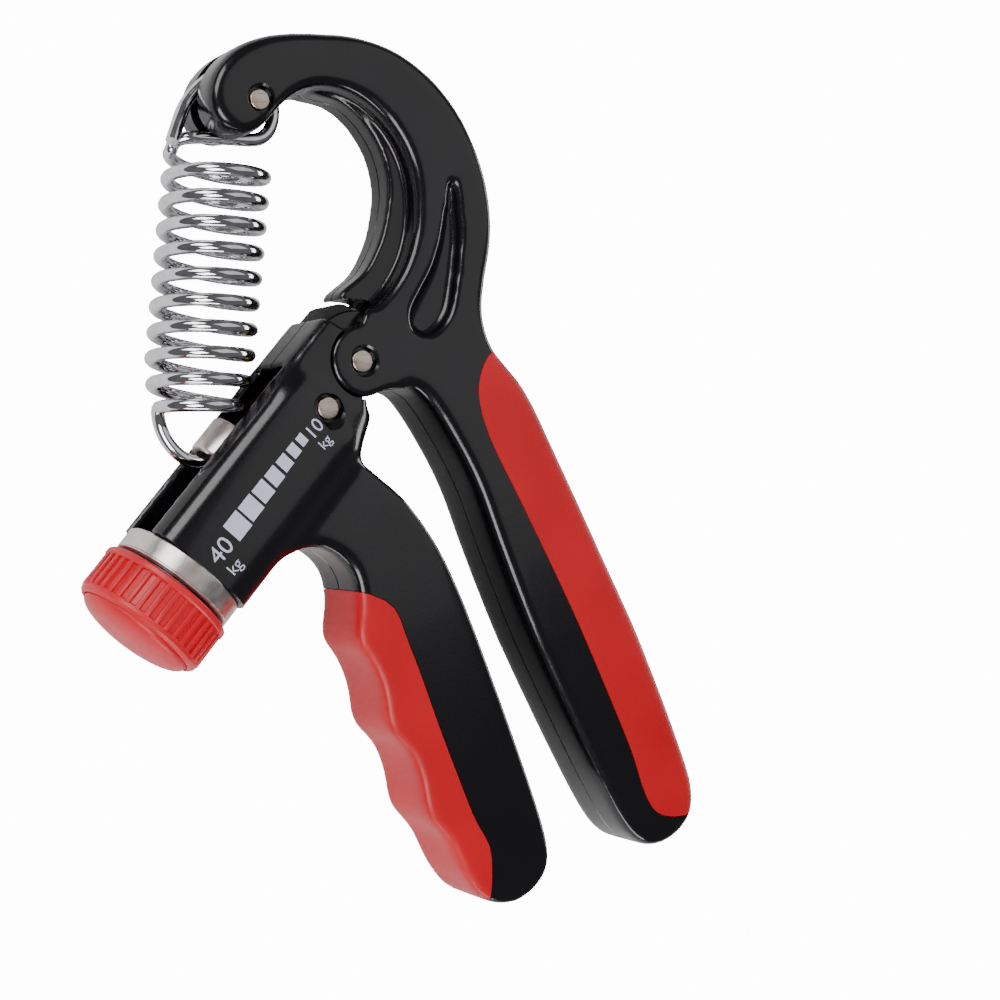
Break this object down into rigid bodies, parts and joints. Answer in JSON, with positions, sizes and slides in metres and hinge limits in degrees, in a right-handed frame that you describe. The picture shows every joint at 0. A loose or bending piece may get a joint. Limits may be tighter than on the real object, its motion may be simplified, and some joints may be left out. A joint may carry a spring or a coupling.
{
  "type": "hand grip strengthener",
  "caption": "Sprung hand exerciser: a palm handle with a hooked arm, a hinged finger handle, an external coil spring and a knob that moves the spring's foot to set the load.",
  "frame": {"origin": "centre of the bounding box, on the surface that the object lies on", "axes": "+X towards the palm handle, +Y up the handles towards the top of the arm, +Z through the thickness, away from the table"},
  "size_m": [0.1187, 0.1534, 0.024],
  "materials": {
    "black_shell": "moulded gloss black",
    "red_grip": "satin soft red",
    "red_knob": "moulded satin red",
    "buffer_rubber": "matt black",
    "pin_steel": "turned steel",
    "screw_steel": "zinc-plated steel",
    "nickel": "satin nickel plate",
    "brass_bush": "turned brass",
    "spring_chrome": "bright chrome plate",
    "scale_ink": "pad-printed pale ink"
  },
  "bodies": {
    "palm_arm": {"palm_shell_near": "black_shell", "palm_shell_far": "black_shell", "palm_grip": "red_grip", "pivot_pin": "pin_steel", "spring_pin": "pin_steel"},
    "finger_handle": {"finger_shell_near": "black_shell", "finger_shell_far": "black_shell", "finger_grip": "red_grip", "stop_buffer": "buffer_rubber", "collar": "nickel", "barrel_pin": "pin_steel", "inner_bearing": "brass_bush", "outer_bush": "brass_bush", "thrust_washer": "pin_steel", "scale_print": "scale_ink", "pivot_washers": "pin_steel"},
    "knob": {"lead_screw": "screw_steel", "screw_clip": "screw_steel", "knob": "red_knob", "knob_cap": "red_knob", "knob_screw": "screw_steel"},
    "travel_nut": {"travel_nut": "nickel"},
    "spring_foot": {"spring_lower_hook": "spring_chrome"},
    "spring_body": {"spring_coils": "spring_chrome"},
    "spring_head": {"spring_upper_hook": "spring_chrome"}
  },
  "joints": [
    {"name": "squeeze", "type": "hinge", "parent": "palm_arm", "child": "finger_handle", "pos_m": [-0.012, 0.0205, 0.012], "axis": [0, 0, 1], "range_deg": [-22, 8]},
    {"name": "knob_turn", "type": "hinge", "parent": "finger_handle", "child": "knob", "pos_m": [-0.04671, -0.02087, 0.012], "axis": [0.6428, 0.766, 0], "range_deg": [-1920, 2640]},
    {"name": "nut_travel", "type": "slide", "parent": "finger_handle", "child": "travel_nut", "axis": [-0.6428, -0.766, 0], "range_m": [-0.0081, 0.0111]},
    {"name": "spring_swing", "type": "hinge", "parent": "travel_nut", "child": "spring_foot", "pos_m": [-0.03626, 0.00496, 0.012], "axis": [0, 0, 1], "range_deg": [-5.7, 15.6]},
    {"name": "spring_stretch", "type": "slide", "parent": "spring_foot", "child": "spring_body", "axis": [0.0941, 0.9956, 0], "range_m": [-0.0096, 0.0035], "deforming": ["spring_coils"]},
    {"name": "spring_take_up", "type": "slide", "parent": "spring_body", "child": "spring_head", "axis": [0.7046, 0.7096, 0], "range_m": [-0.0079, 0.0108]}
  ],
  "couplings": [
    {"joint": "nut_travel", "follows": "knob_turn", "m_per_rad": 0.00023873},
    {"joint": "spring_swing", "follows": "squeeze", "ratio": -0.706},
    {"joint": "spring_stretch", "follows": "squeeze", "m_per_rad": 0.024792},
    {"joint": "spring_take_up", "follows": "knob_turn", "m_per_rad": 0.00023348}
  ]
}
